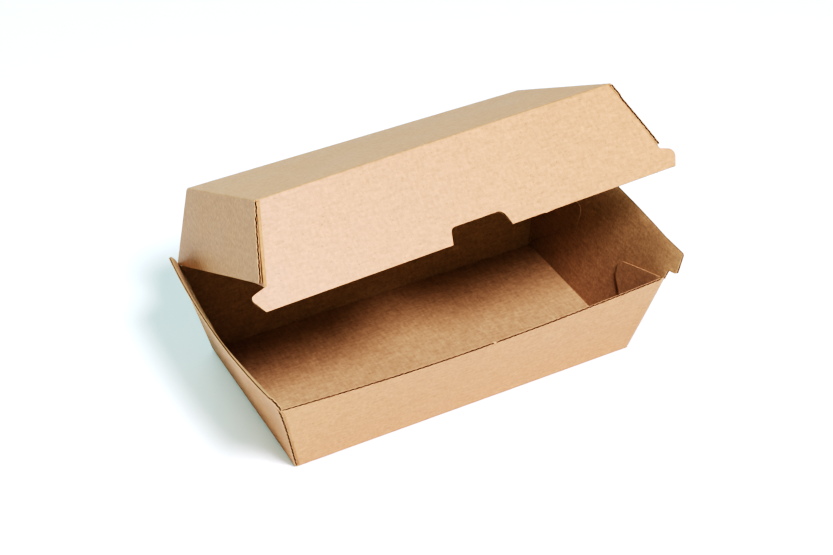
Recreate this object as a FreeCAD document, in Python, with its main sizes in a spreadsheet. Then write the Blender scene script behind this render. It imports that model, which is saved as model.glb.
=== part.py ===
import FreeCAD, Part
import math
import os
import Sketcher

# A folding takeaway box of thin brown corrugated board, half open, in millimetres.
# The tray stands on Z = 0 with its bottom panel centred on the origin; the front faces -Y.
# The lid is folded on to the tray's back wall and turns about that fold, the hinge line.
# Each wall leans outwards from the bottom panel (tray) or from the top panel (lid).

SIZES = (
    ("board", 1.3, "thickness of the board"),
    ("base_length", 174.4, "bottom panel, left to right, outside"),
    ("base_depth", 89.1, "bottom panel, front to back, outside"),
    ("end_lean", 13.6, "degrees that the tray's end walls lean out"),
    ("front_lean", 11.5, "degrees that the tray's front wall leans out"),
    ("back_lean", 14.1, "degrees that the tray's back wall leans out"),
    ("front_height", 45.3, "height of the front rim over the table"),
    ("hinge_height", 46.9, "height of the hinge line over the table"),
    ("end_height", 62.8, "height of the end walls' rim over the table"),
    ("rear_setback", 12.9, "how far the end wall's rim stops ahead of the hinge line"),
    ("hook_height", 50.3, "height of the notch under an end wall's hook"),
    ("hook_reach", 5.6, "how far a hook stands ahead of the front wall's plane"),
    ("hook_rise", 1.6, "rise of a hook's lower edge from the notch to its tip"),
    ("hook_lower_round", 2.2, "radius of a hook's lower corner"),
    ("hook_upper_round", 1.4, "radius of a hook's upper corner"),
    ("rear_round", 3.0, "radius of the end wall's rear upper corner"),
    ("front_bow", 3.8, "outward bulge of the front rim"),
    ("front_bow_place", -10.0, "where along X the front rim bulges most"),
    ("front_bow_growth", 1.5, "power of the height with which the front bulge grows"),
    ("left_bow", 7.0, "outward bulge of the left end wall's rim"),
    ("left_bow_place", -3.0, "where along Y the left rim bulges most"),
    ("left_bow_span", 55.0, "distance from there to where the left rim spreads least"),
    ("left_bow_corner", 3.3, "outward spread of the left rim at its two ends"),
    ("left_bow_growth", 1.5, "power of the height with which the bulge grows at mid rim"),
    ("left_corner_growth", 5.5, "the same power at the glued corners, where only the free rim spreads"),
    ("flap_foot", 6.0, "height over the table at which a glued flap leaves its wall"),
    ("flap_width", 33.0, "width of a front glued flap along the end wall"),
    ("flap_drop", 9.4, "fall of the front flap's upper edge to its free edge"),
    ("flap_side", 7.3, "length of a front flap's upright free edge"),
    ("rear_flap_width", 42.0, "width of a rear glued flap along the end wall"),
    ("rear_flap_drop", 2.6, "fall of the rear flap's upper edge to its free edge"),
    ("rear_flap_side", 12.5, "length of a rear flap's upright free edge"),
    ("flap_round", 3.5, "radius of a flap's free corners"),
    ("hinge_gap", 0.25, "half the slit that the fold leaves between tray and lid"),
    ("open_angle", 31.2, "degrees that the lid stands open in this pose"),
    ("lid_height", 34.0, "height of the closed lid over the hinge line"),
    ("lid_end_lean", 15.2, "degrees that the lid's end walls lean out"),
    ("lid_front_lean", 22.0, "degrees that the lid's front wall leans out"),
    ("lid_back_lean", 20.1, "degrees that the lid's back wall leans out"),
    ("lid_side_clearance", 0.35, "gap between a closed lid's end wall and the tray's"),
    ("lid_front_clearance", 0.3, "gap between a closed lid's front wall and the bulged rim"),
    ("lid_front_fold", 1.1, "height over the hinge line where the lid's end walls end at the front"),
    ("skirt", 10.1, "length of the lid's front wall below its end walls"),
    ("lid_ear_reach", 6.8, "how far an ear of the lid stands out beyond its end wall"),
    ("lid_ear_start", 0.4, "distance of an ear's inner corner below the end wall"),
    ("lid_ear_fall", 1.9, "fall of an ear's upper edge towards its tip"),
    ("lid_ear_taper", 3.2, "how much an ear narrows towards the lower edge"),
    ("lid_ear_round", 2.2, "radius of an ear's upper corner"),
    ("thumb_width", 28.5, "width of the thumb notch at the lower edge"),
    ("thumb_taper", 2.0, "how much each side of the thumb notch leans in"),
    ("thumb_height", 7.2, "depth of the thumb notch"),
    ("thumb_round", 3.2, "radius of the thumb notch's corners"),
    ("thumb_place", 1.2, "centre of the thumb notch along X"),
    ("lid_flap_width", 34.0, "width of the lid's glued flaps along its end wall"),
    ("lid_flap_trim", 7.0, "distance from the top panel at which a lid flap leaves its wall"),
    ("lid_flap_side", 9.0, "length of a lid flap's upright free edge"),
)

doc = FreeCAD.newDocument("takeaway_box")
sheet = doc.addObject("Spreadsheet::Sheet", "sizes")
for row, (alias, value, meaning) in enumerate(SIZES, start=1):
    sheet.set(f"A{row}", meaning)
    sheet.set(f"B{row}", str(value))
    sheet.setAlias(f"B{row}", alias)
doc.recompute()
size = {alias: float(sheet.get(alias)) for alias, value, meaning in SIZES}


def of(alias):
    """The expression for one cell of the sheet."""
    return f"sizes.{alias}"


def run(alias):
    """Expression: sideways run per millimetre of height of a wall that leans by this many degrees."""
    return f"tan(sizes.{alias} * 1 deg)"


def slant(alias):
    """Expression: width of the board measured level, through a wall that leans by this many degrees."""
    return f"sizes.board / cos(sizes.{alias} * 1 deg)"


def run_of(alias):
    return math.tan(math.radians(size[alias]))


def slant_of(alias):
    return size["board"] / math.cos(math.radians(size[alias]))


def bind(item, **expressions):
    for name, expression in expressions.items():
        item.setExpression(name.replace("__", "."), str(expression))
    return item


# Points across and up a curved skin, through which its smooth surface is laid.
SKIN_ROWS = 25
SKIN_COLUMNS = 9

# Planes in which the flat outlines are drawn: u runs along X or Y, v along Z.
ALONG_X = FreeCAD.Rotation(FreeCAD.Vector(1, 0, 0), 90)
ALONG_Y = FreeCAD.Rotation(FreeCAD.Vector(1, 1, 1), 120)


def outline(name, plane, corners):
    """A closed sketch through corners given as pairs of expressions, cut through the whole box as a prism."""
    sketch = doc.addObject("Sketcher::SketchObject", name + "_outline")
    sketch.Placement = FreeCAD.Placement(FreeCAD.Vector(), plane)
    count = len(corners)
    for index in range(count):
        angle = 2 * math.pi * index / count
        after = 2 * math.pi * (index + 1) / count
        first = FreeCAD.Vector(math.cos(angle), math.sin(angle), 0)
        second = FreeCAD.Vector(math.cos(after), math.sin(after), 0)
        sketch.addGeometry(Part.LineSegment(first, second), False)
    for index in range(count):
        sketch.addConstraint(Sketcher.Constraint("Coincident", index, 2, (index + 1) % count, 1))
    for index, (u_place, v_place) in enumerate(corners):
        for kind, place in (("DistanceX", u_place), ("DistanceY", v_place)):
            # A measure from the sketch's origin to the corner, which the sheet then drives.
            number = sketch.addConstraint(Sketcher.Constraint(kind, -1, 1, index, 1, 1.0))
            sketch.setExpression(f"Constraints[{number}]", str(place))
    prism = doc.addObject("Part::Extrusion", name + "_prism")
    prism.Base = sketch
    prism.DirMode = "Normal"
    prism.Solid = True
    prism.Symmetric = True
    bind(prism, LengthFwd="4 * sizes.base_length")
    doc.recompute()
    return prism


def rounded(prism, radii):
    """Rounds the prism's long edges: radii holds (corner number, alias of the radius)."""
    sketch = prism.Base
    turn = sketch.Placement.Rotation
    wanted = []
    for corner, alias in radii:
        spot = sketch.Placement.multVec(sketch.getPoint(corner, 1))
        for number, edge in enumerate(prism.Shape.Edges, start=1):
            ends = [vertex.Point for vertex in edge.Vertexes]
            flat = [turn.inverted().multVec(end - spot) for end in ends]
            if all(math.hypot(end.x, end.y) < 1e-4 for end in flat):
                wanted.append((number, size[alias], size[alias]))
    result = doc.addObject("Part::Fillet", prism.Name + "_rounded")
    result.Base = prism
    result.Edges = wanted
    doc.recompute()
    return result


def leaning_slab(name, low, high, near, far, plane):
    """A slab that leans as it rises from low to high: near and far hold its two faces' places at both heights.

    On ALONG_Y it is a pair of faces across X, and on ALONG_X a pair across -Y. The wedge's own Y axis points up.
    """
    slab = doc.addObject("Part::Wedge", name)
    slab.Placement = FreeCAD.Placement(FreeCAD.Vector(), FreeCAD.Rotation(FreeCAD.Vector(1, 0, 0), 90))
    reach = "2 * sizes.base_length"
    bind(slab, Ymin=low, Ymax=high)
    if plane == ALONG_Y:
        bind(slab, Xmin=near[0], Xmax=far[0], X2min=near[1], X2max=far[1])
        bind(slab, Zmin=f"-{reach}", Zmax=reach, Z2min=f"-{reach}", Z2max=reach)
    else:
        bind(slab, Zmin=near[0], Zmax=far[0], Z2min=near[1], Z2max=far[1])
        bind(slab, Xmin=f"-{reach}", Xmax=reach, X2min=f"-{reach}", X2max=reach)
    return slab


def panel(name, slab, prism):
    """The piece of a slab that lies inside an outline."""
    piece = doc.addObject("Part::MultiCommon", name)
    piece.Shapes = [slab, prism]
    return piece


def bowed_slab(name, skin, inward, start, thick):
    """A slab under a smooth curved skin: skin is a grid of points, moved in by start and thick boards deep."""
    surface = Part.BSplineSurface()
    surface.interpolate([[point + inward * start for point in line] for line in skin])
    slab = doc.addObject("Part::Feature", name)
    slab.Shape = surface.toShape().extrude(inward * thick)
    return slab


# Places that several pieces share, as expressions over the sheet.
half_length = f"({of('base_length')} / 2)"
half_depth = f"({of('base_depth')} / 2)"
hinge_y = f"({half_depth} + {of('hinge_height')} * {run('back_lean')})"
wall_top = f"({of('end_height')} + {of('board')})"


def end_face(height):
    """Outer face of the tray's right end wall at a height."""
    return f"({half_length} + ({height}) * {run('end_lean')})"


def front_face(height):
    """Outer face of the tray's front wall at a height, as a Y place."""
    return f"(-{half_depth} - ({height}) * {run('front_lean')})"


def back_face(height):
    return f"({half_depth} + ({height}) * {run('back_lean')})"


# TRAY
# Bottom panel.
bottom = doc.addObject("Part::Box", "bottom_panel")
bind(bottom, Length=of("base_length"), Width=of("base_depth"), Height=of("board"))
bind(bottom, Placement__Base__x=f"-{half_length}", Placement__Base__y=f"-{half_depth}")

# End walls: one outline for both, with a hook at the front of the rim that holds the lid's ears.
hook_tip = f"({front_face(of('hook_height'))} - {of('hook_reach')})"
end_prism = rounded(outline("end_wall", ALONG_Y, (
    (front_face("0"), "0"),
    (back_face("0"), "0"),
    (hinge_y, of("hinge_height")),
    (f"{hinge_y} - {of('rear_setback')}", of("end_height")),
    (hook_tip, of("end_height")),
    (hook_tip, f"{of('hook_height')} + {of('hook_rise')}"),
    (front_face(of("hook_height")), of("hook_height")),
)), ((3, "rear_round"), (4, "hook_upper_round"), (5, "hook_lower_round")))

right_wall = panel("right_end_wall", leaning_slab(
    "right_end_slab", "0", wall_top,
    (f"{end_face('0')} - {slant('end_lean')}", f"{end_face(wall_top)} - {slant('end_lean')}"),
    (end_face("0"), end_face(wall_top)), ALONG_Y), end_prism)


def spread(low, high, count):
    """Evenly spaced values from low to high."""
    return [low + (high - low) * index / (count - 1) for index in range(count)]


def left_skin():
    """Outer face of the left end wall, which bulges outwards: most at mid rim, least at its glued corners.

    The bulge grows with height; near the corners, where the flaps hold the wall, only the free rim spreads.
    """
    rows = []
    for y in spread(-size["base_depth"], size["base_depth"], SKIN_ROWS):
        off = min(1.0, abs(y - size["left_bow_place"]) / size["left_bow_span"]) ** 2
        bulge = size["left_bow"] + (size["left_bow_corner"] - size["left_bow"]) * off
        growth = size["left_bow_growth"] + (size["left_corner_growth"] - size["left_bow_growth"]) * off
        line = []
        for z in spread(0, size["end_height"] + 2 * size["board"], SKIN_COLUMNS):
            out = bulge * (z / size["end_height"]) ** growth
            line.append(FreeCAD.Vector(-size["base_length"] / 2 - z * run_of("end_lean") - out, y, z))
        rows.append(line)
    return rows


end_inward = FreeCAD.Vector(math.cos(math.radians(size["end_lean"])), 0, math.sin(math.radians(size["end_lean"])))
left_wall = panel("left_end_wall", bowed_slab(
    "left_end_slab", left_skin(), end_inward, 0, size["board"]), end_prism)


def front_skin():
    """Outer face of the front wall, whose rim bulges towards the front between its corners."""
    corner = size["base_length"] / 2 + size["front_height"] * run_of("end_lean")
    place = size["front_bow_place"]
    rows = []
    for x in spread(-size["base_length"], size["base_length"], SKIN_ROWS):
        chord = corner - place if x > place else corner + place
        bulge = size["front_bow"] * math.cos(min(1.0, abs(x - place) / chord) * math.pi / 2)
        line = []
        for z in spread(0, size["front_height"] + 2 * size["board"], SKIN_COLUMNS):
            out = bulge * (z / size["front_height"]) ** size["front_bow_growth"]
            line.append(FreeCAD.Vector(x, -size["base_depth"] / 2 - z * run_of("front_lean") - out, z))
        rows.append(line)
    return rows


# Front wall, between the end walls' outer faces.
front_prism = outline("front_wall", ALONG_X, (
    (f"-{end_face('0')}", "0"),
    (end_face("0"), "0"),
    (end_face(of("front_height")), of("front_height")),
    (f"-{end_face(of('front_height'))}", of("front_height")),
))
front_inward = FreeCAD.Vector(0, math.cos(math.radians(size["front_lean"])), math.sin(math.radians(size["front_lean"])))
front_wall = panel("front_wall", bowed_slab(
    "front_slab", front_skin(), front_inward, 0, size["board"]), front_prism)

# Back wall, up to the hinge line.
back_top = f"({of('hinge_height')} - {of('hinge_gap')})"
back_prism = outline("back_wall", ALONG_X, (
    (f"-{end_face('0')}", "0"),
    (end_face("0"), "0"),
    (end_face(back_top), back_top),
    (f"-{end_face(back_top)}", back_top),
))
back_wall = panel("back_wall", leaning_slab(
    "back_slab", "0", of("hinge_height"),
    (f"-{back_face('0')}", f"-{back_face(of('hinge_height'))}"),
    (f"{slant('back_lean')} - {back_face('0')}", f"{slant('back_lean')} - {back_face(of('hinge_height'))}"),
    ALONG_X), back_prism)

# Glued flaps: the side edges of the front and back walls, folded in and stuck to the end walls' inner faces.
flap_edge = f"({front_face(of('front_height'))} + {of('flap_width')})"
flap_upper = f"({of('front_height')} - {of('flap_drop')})"
front_flap_prism = rounded(outline("front_flap", ALONG_Y, (
    (front_face(of("flap_foot")), of("flap_foot")),
    (flap_edge, f"{flap_upper} - {of('flap_side')}"),
    (flap_edge, flap_upper),
    (front_face(of("front_height")), of("front_height")),
)), ((1, "flap_round"), (2, "flap_round")))
rear_edge = f"({back_face(back_top)} - {of('rear_flap_width')})"
rear_upper = f"({back_top} - {of('rear_flap_drop')})"
rear_flap_prism = rounded(outline("rear_flap", ALONG_Y, (
    (back_face(of("flap_foot")), of("flap_foot")),
    (back_face(back_top), back_top),
    (rear_edge, rear_upper),
    (rear_edge, f"{rear_upper} - {of('rear_flap_side')}"),
)), ((2, "flap_round"), (3, "flap_round")))

lining = leaning_slab(
    "right_lining", "0", wall_top,
    (f"{end_face('0')} - 2 * {slant('end_lean')}", f"{end_face(wall_top)} - 2 * {slant('end_lean')}"),
    (f"{end_face('0')} - {slant('end_lean')} / 2", f"{end_face(wall_top)} - {slant('end_lean')} / 2"), ALONG_Y)
left_lining = bowed_slab("left_lining", left_skin(), end_inward, size["board"] / 2, size["board"] * 1.5)
flaps = [panel(side + name, slab, prism)
         for side, slab in (("right", lining), ("left", left_lining))
         for name, prism in (("_front_flap", front_flap_prism), ("_rear_flap", rear_flap_prism))]

tray = doc.addObject("Part::MultiFuse", "tray")
tray.Shapes = [bottom, front_wall, back_wall, right_wall, left_wall] + flaps
tray.Label = "tray"

# LID
# It is drawn closed, with the hinge line on the X axis, and then set on the tray and opened.
lid_top = of("lid_height")
low_half = (f"({end_face(of('hinge_height'))} - {slant('end_lean')} - {of('lid_side_clearance')})")
back_run = f"({lid_top} * {run('lid_back_lean')})"
# The front wall's inner face passes the bulged front rim with a clearance.
rim_level = f"({of('hinge_height')} - {of('front_height')})"
front_place = (f"({hinge_y} - {front_face(of('front_height'))} + {of('front_bow')} + {of('lid_front_clearance')}"
               f" + {slant('lid_front_lean')} - {rim_level} * {run('lid_front_lean')})")


def lid_end_face(height):
    """Outer face of the lid's right end wall at a height over the hinge line."""
    return f"({low_half} - ({height}) * {run('lid_end_lean')})"


def lid_front_face(height):
    """Outer face of the lid's front wall, as a Y place; front_place is its depth on the hinge line's level."""
    return f"(-{front_place} + ({height}) * {run('lid_front_lean')})"


def lid_back_face(height):
    return f"(-({height}) * {run('lid_back_lean')})"


top_panel = doc.addObject("Part::Box", "lid_top_panel")
bind(top_panel, Length=f"2 * {lid_end_face(lid_top)}", Height=of("board"),
     Width=f"{lid_back_face(lid_top)} - {lid_front_face(lid_top)}")
bind(top_panel, Placement__Base__x=f"-{lid_end_face(lid_top)}", Placement__Base__y=lid_front_face(lid_top),
     Placement__Base__z=f"{lid_top} - {of('board')}")

lid_end_prism = outline("lid_end_wall", ALONG_Y, (
    (lid_front_face(of("lid_front_fold")), of("lid_front_fold")),
    (lid_back_face(of("hinge_gap")), of("hinge_gap")),
    (lid_back_face(lid_top), lid_top),
    (lid_front_face(lid_top), lid_top),
))


def lid_slab(side, name, outer, inner):
    """Slab of a lid end wall, outer and inner boards deep, on the side +1 (right) or -1 (left)."""
    faces = []
    for depth in (outer, inner):
        faces.append([f"{side} * ({lid_end_face(height)} - {depth} * {slant('lid_end_lean')})"
                      for height in ("0", lid_top)])
    near, far = (faces[1], faces[0]) if side > 0 else (faces[0], faces[1])
    return leaning_slab(name, "0", lid_top, near, far, ALONG_Y)


flap_low = f"({of('lid_front_fold')} + {of('board')})"
trim = f"({lid_top} - {of('lid_flap_trim')})"
lid_front_flap_prism = rounded(outline("lid_front_flap", ALONG_Y, (
    (lid_front_face(flap_low), flap_low),
    (f"{lid_front_face(flap_low)} + {of('lid_flap_width')}", flap_low),
    (f"{lid_front_face(flap_low)} + {of('lid_flap_width')}", f"{flap_low} + {of('lid_flap_side')}"),
    (lid_front_face(trim), trim),
)), ((1, "flap_round"), (2, "flap_round")))
lid_rear_flap_prism = rounded(outline("lid_rear_flap", ALONG_Y, (
    (lid_back_face(flap_low), flap_low),
    (lid_back_face(trim), trim),
    (f"{lid_back_face(flap_low)} - {of('lid_flap_width')}", f"{flap_low} + {of('lid_flap_side')}"),
    (f"{lid_back_face(flap_low)} - {of('lid_flap_width')}", flap_low),
)), ((2, "flap_round"), (3, "flap_round")))

lid_pieces = [top_panel]
for side, word in ((1, "right"), (-1, "left")):
    lid_pieces.append(panel(f"lid_{word}_end_wall", lid_slab(side, f"lid_{word}_slab", 0, 1), lid_end_prism))
    flap_slab = lid_slab(side, f"lid_{word}_lining", 0.5, 2)
    lid_pieces.append(panel(f"lid_{word}_front_flap", flap_slab, lid_front_flap_prism))
    lid_pieces.append(panel(f"lid_{word}_rear_flap", flap_slab, lid_rear_flap_prism))

lid_back_prism = outline("lid_back_wall", ALONG_X, (
    (f"-{lid_end_face(of('hinge_gap'))}", of("hinge_gap")),
    (lid_end_face(of("hinge_gap")), of("hinge_gap")),
    (lid_end_face(lid_top), lid_top),
    (f"-{lid_end_face(lid_top)}", lid_top),
))
lid_pieces.append(panel("lid_back_wall", leaning_slab(
    "lid_back_slab", "0", lid_top,
    ("0", f"-{lid_back_face(lid_top)}"),
    (slant("lid_back_lean"), f"{slant('lid_back_lean')} - {lid_back_face(lid_top)}"), ALONG_X), lid_back_prism))


def down(distance):
    """Height on the lid's front wall at a distance below its end walls' lower corner."""
    return f"({of('lid_front_fold')} - ({distance}) * cos({of('lid_front_lean')} * 1 deg))"


# Front wall with its skirt: an ear at each side, and the thumb notch in the lower edge.
ear_root = lid_end_face(of("lid_front_fold"))
ear_tip = f"({ear_root} + {of('lid_ear_reach')})"
ear_foot = f"({ear_tip} - {of('lid_ear_taper')})"
thumb_half = f"({of('thumb_width')} / 2)"
skirt_end = down(of("skirt"))
thumb_top = down(f"{of('skirt')} - {of('thumb_height')}")
lid_front_prism = rounded(outline("lid_front_wall", ALONG_X, (
    (f"-{lid_end_face(lid_top)}", lid_top),
    (f"-{ear_root}", of("lid_front_fold")),
    (f"-{ear_root}", down(of("lid_ear_start"))),
    (f"-{ear_tip}", down(f"{of('lid_ear_start')} + {of('lid_ear_fall')}")),
    (f"-{ear_foot}", skirt_end),
    (f"{of('thumb_place')} - {thumb_half}", skirt_end),
    (f"{of('thumb_place')} - {thumb_half} + {of('thumb_taper')}", thumb_top),
    (f"{of('thumb_place')} + {thumb_half} - {of('thumb_taper')}", thumb_top),
    (f"{of('thumb_place')} + {thumb_half}", skirt_end),
    (ear_foot, skirt_end),
    (ear_tip, down(f"{of('lid_ear_start')} + {of('lid_ear_fall')}")),
    (ear_root, down(of("lid_ear_start"))),
    (ear_root, of("lid_front_fold")),
    (lid_end_face(lid_top), lid_top),
)), ((3, "lid_ear_round"), (6, "thumb_round"), (7, "thumb_round"), (10, "lid_ear_round")))
lid_pieces.append(panel("lid_front_wall", leaning_slab(
    "lid_front_slab", f"{skirt_end} - {of('board')}", lid_top,
    (f"-{lid_front_face(f'{skirt_end} - ' + of('board'))} - {slant('lid_front_lean')}",
     f"-{lid_front_face(lid_top)} - {slant('lid_front_lean')}"),
    (f"-{lid_front_face(f'{skirt_end} - ' + of('board'))}", f"-{lid_front_face(lid_top)}"),
    ALONG_X), lid_front_prism))

lid = doc.addObject("Part::MultiFuse", "lid")
lid.Shapes = lid_pieces
lid.Label = "lid"
lid.Placement = FreeCAD.Placement(FreeCAD.Vector(), FreeCAD.Rotation(FreeCAD.Vector(-1, 0, 0), size["open_angle"]))
bind(lid, Placement__Base__y=hinge_y, Placement__Base__z=of("hinge_height"),
     Placement__Rotation__Angle=of("open_angle"))

doc.recompute()

nodes = (tray, lid)
for item in doc.Objects:
    if "Invalid" in item.State or "Error" in item.State:
        raise RuntimeError(f"{item.Name} failed: {item.State}")
for node in nodes:
    if node.Shape.isNull() or not node.Shape.isValid():
        raise RuntimeError(f"{node.Label} has no valid shape")

os.makedirs("parts", exist_ok=True)
for node in nodes:
    node.Shape.exportStep(os.path.join("parts", node.Label + ".step"))
    box = node.Shape.BoundBox
    print(node.Label, "solids", len(node.Shape.Solids), "volume", round(node.Shape.Volume, 1),
          "box", [round(value, 2) for value in (box.XMin, box.XMax, box.YMin, box.YMax, box.ZMin, box.ZMax)])
print("hinge line at Y", round(lid.Placement.Base.y, 3), "Z", round(lid.Placement.Base.z, 3))
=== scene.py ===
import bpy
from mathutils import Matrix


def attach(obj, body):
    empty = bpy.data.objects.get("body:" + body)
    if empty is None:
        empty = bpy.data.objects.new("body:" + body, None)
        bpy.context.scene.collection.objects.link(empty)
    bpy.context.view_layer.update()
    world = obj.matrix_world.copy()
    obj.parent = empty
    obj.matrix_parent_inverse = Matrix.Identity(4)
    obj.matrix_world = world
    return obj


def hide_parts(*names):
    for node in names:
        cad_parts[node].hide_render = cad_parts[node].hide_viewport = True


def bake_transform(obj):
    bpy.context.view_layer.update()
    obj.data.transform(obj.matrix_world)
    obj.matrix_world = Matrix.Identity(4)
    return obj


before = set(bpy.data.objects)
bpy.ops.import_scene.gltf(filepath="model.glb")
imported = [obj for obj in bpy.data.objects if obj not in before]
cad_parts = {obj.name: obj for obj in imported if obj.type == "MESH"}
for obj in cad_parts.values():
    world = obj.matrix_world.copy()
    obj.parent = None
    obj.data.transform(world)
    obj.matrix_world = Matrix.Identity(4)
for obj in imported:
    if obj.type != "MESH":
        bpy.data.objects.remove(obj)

"""Looks of a half-open takeaway box folded from fine corrugated kraft board.

Panels with cut edges in sight are real board, an outer and an inner liner with a fluted core between them, so
that their rims show its waves. The others are one block. Lengths in this file are millimetres in the object's
frame (+Z up, front towards -Y) and leans are degrees; meshes are in metres.
"""

import logging
import math
from dataclasses import dataclass, field
from enum import Enum
from typing import Callable

import bpy
import numpy as np
from mathutils import Matrix, Vector

LOG = logging.getLogger("takeaway_box")
MM = 0.001
GLUE_GAP = 0.04
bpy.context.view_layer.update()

Array = np.ndarray
Socket = bpy.types.NodeSocket
Pair = tuple[float, float]
Triple = tuple[float, float, float]
Corners = list[Triple]
Surface = Callable[[Array, Array], Array]
Cut = tuple[Triple, ...]
Place = Callable[[Array], Array]
Across = Callable[[float, float], float]


class Side(Enum):
    """Which end of the box a piece belongs to."""

    LEFT = -1
    RIGHT = 1


class Wall(Enum):
    """The walls round a flat panel, by the direction (x, y) that they face."""

    FRONT = (0, -1)
    BACK = (0, 1)
    LEFT = (-1, 0)
    RIGHT = (1, 0)


class Skin(Enum):
    """Slots of a board piece: the paper that a face is made of; the core's slot holds near-black painted
    shade instead of a paper's own colour.
    """

    OUTSIDE = 0
    INSIDE = 1
    CUT = 2
    # The core's slot is painted shade: near-black for the shaded flute channels, not the core paper's own
    # colour.
    CORE = 3


def run(lean: float) -> float:
    """Sideways run per millimetre of height of a wall that leans by this many degrees."""
    return math.tan(math.radians(lean))


def stay(points: Array) -> Array:
    """Leaves the points where they are."""
    return points


@dataclass(frozen=True)
class Board:
    """Fine-flute board.

    Attributes:
        thickness: Whole board.
        liner: Each outer paper.
        core: The fluted paper.
        pitch: Distance from one flute to the next.
        per_flute: Mesh steps in one flute.
        fold_radius: Outside radius of a folded edge.
        corner_radius: Outside radius of an upright corner.
    """

    thickness: float = 1.3
    liner: float = 0.25
    core: float = 0.13
    pitch: float = 2.9
    per_flute: int = 8
    fold_radius: float = 0.95
    corner_radius: float = 0.8

    @property
    def swing(self) -> float:
        """Height of the core's waves over its middle."""
        return self.thickness / 2 - self.liner - self.core / 2

    def slant(self, lean: float) -> float:
        """Level width of the board in a wall that leans by this many degrees."""
        return self.thickness / math.cos(math.radians(lean))

    def wave(self, across: Array) -> Array:
        """Depth of the core's middle: half the board plus a sine over the distance across the flutes."""
        return self.thickness / 2 + self.swing * np.sin(2 * np.pi * across / self.pitch)

    def core_depth(self, across: Array) -> Array:
        """Core's depth through the board: its paper's thickness over the cosine of the wave's slope."""
        slope = self.swing * 2 * np.pi / self.pitch * np.cos(2 * np.pi * across / self.pitch)
        return self.core * np.sqrt(1 + slope ** 2)


BOARD = Board()


def rounded(corners: Corners, steps: int = 7) -> Array:
    """Closed outline with its corners rounded.

    At each corner with a radius, a circle touches both edges: its middle lies on the corner's bisector at the
    radius over the sine of the half angle.

    Args:
        corners: Places (u, v) and radius of each corner, in order round the outline.
        steps: Points on each rounded corner.

    Returns:
        Points of the outline, one row each.
    """
    parts = []
    for index, (u, v, radius) in enumerate(corners):
        here = np.array([u, v])
        if radius <= 0:
            parts.append(here[None])
            continue
        back = np.array(corners[index - 1][:2]) - here
        ahead = np.array(corners[(index + 1) % len(corners)][:2]) - here
        back = back / np.linalg.norm(back)
        ahead = ahead / np.linalg.norm(ahead)
        half = math.acos(float(np.clip(back @ ahead, -1, 1))) / 2
        middle = here + (back + ahead) / np.linalg.norm(back + ahead) * radius / math.sin(half)
        first = here + back * radius / math.tan(half) - middle
        last = here + ahead * radius / math.tan(half) - middle
        turn = math.pi - 2 * half
        share = np.linspace(0, 1, steps)[:, None]
        arc = (np.sin((1 - share) * turn) * first + np.sin(share * turn) * last) / math.sin(turn)
        parts.append(middle + arc)
    return np.concatenate(parts)


@dataclass
class Outline:
    """A closed outline read as two curves over u: its lower and its upper side."""

    corners: Corners
    hair: float = 0.02
    low: Array = field(init=False)
    high: Array = field(init=False)

    def __post_init__(self) -> None:
        """Splits the rounded outline at its first and last u."""
        ring = rounded(self.corners)
        ring = np.roll(ring, -int(np.argmin(ring[:, 0])), axis=0)
        end = int(np.argmax(ring[:, 0]))
        one = ring[: end + 1]
        other = np.concatenate([ring[:1], ring[end:][::-1]])
        if one[:, 1].mean() > other[:, 1].mean():
            one, other = other, one
        self.low, self.high = one, other

    def marks(self, spacing: float) -> Array:
        """Rising places along u: the outline's own corners and even steps, all a hair inside both ends."""
        first = float(self.low[:, 0].min()) + self.hair
        last = float(self.low[:, 0].max()) - self.hair
        even = np.linspace(first, last, max(2, int(np.ceil((last - first) / spacing)) + 1))
        every = np.unique(np.clip(np.concatenate([even, self.low[:, 0], self.high[:, 0]]), first, last))
        keep = np.concatenate([[True], np.diff(every) > self.hair / 2])
        return every[keep]

    def span(self, across: Array, steps: int, trim: float) -> Array:
        """Grid of v: for each u, even steps from the lower to the upper side.

        Args:
            across: Places along u.
            steps: Points along v.
            trim: Distance kept from both sides.

        Returns:
            Array of shape (u, v).
        """
        low = np.interp(across, self.low[:, 0], self.low[:, 1]) + trim
        high = np.interp(across, self.high[:, 0], self.high[:, 1]) - trim
        high = np.maximum(high, low + self.hair)
        return low[:, None] + (high - low)[:, None] * np.linspace(0, 1, steps)


def rectangle(first: Pair, last: Pair) -> Outline:
    """Outline between two opposite corners (u, v)."""
    return Outline([(*first, 0), (last[0], first[1], 0), (*last, 0), (first[0], last[1], 0)])


def raised(corners: Cut, height: float) -> Corners:
    """Corners with their v raised by a height."""
    return [(u, v + height, radius) for u, v, radius in corners]


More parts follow.
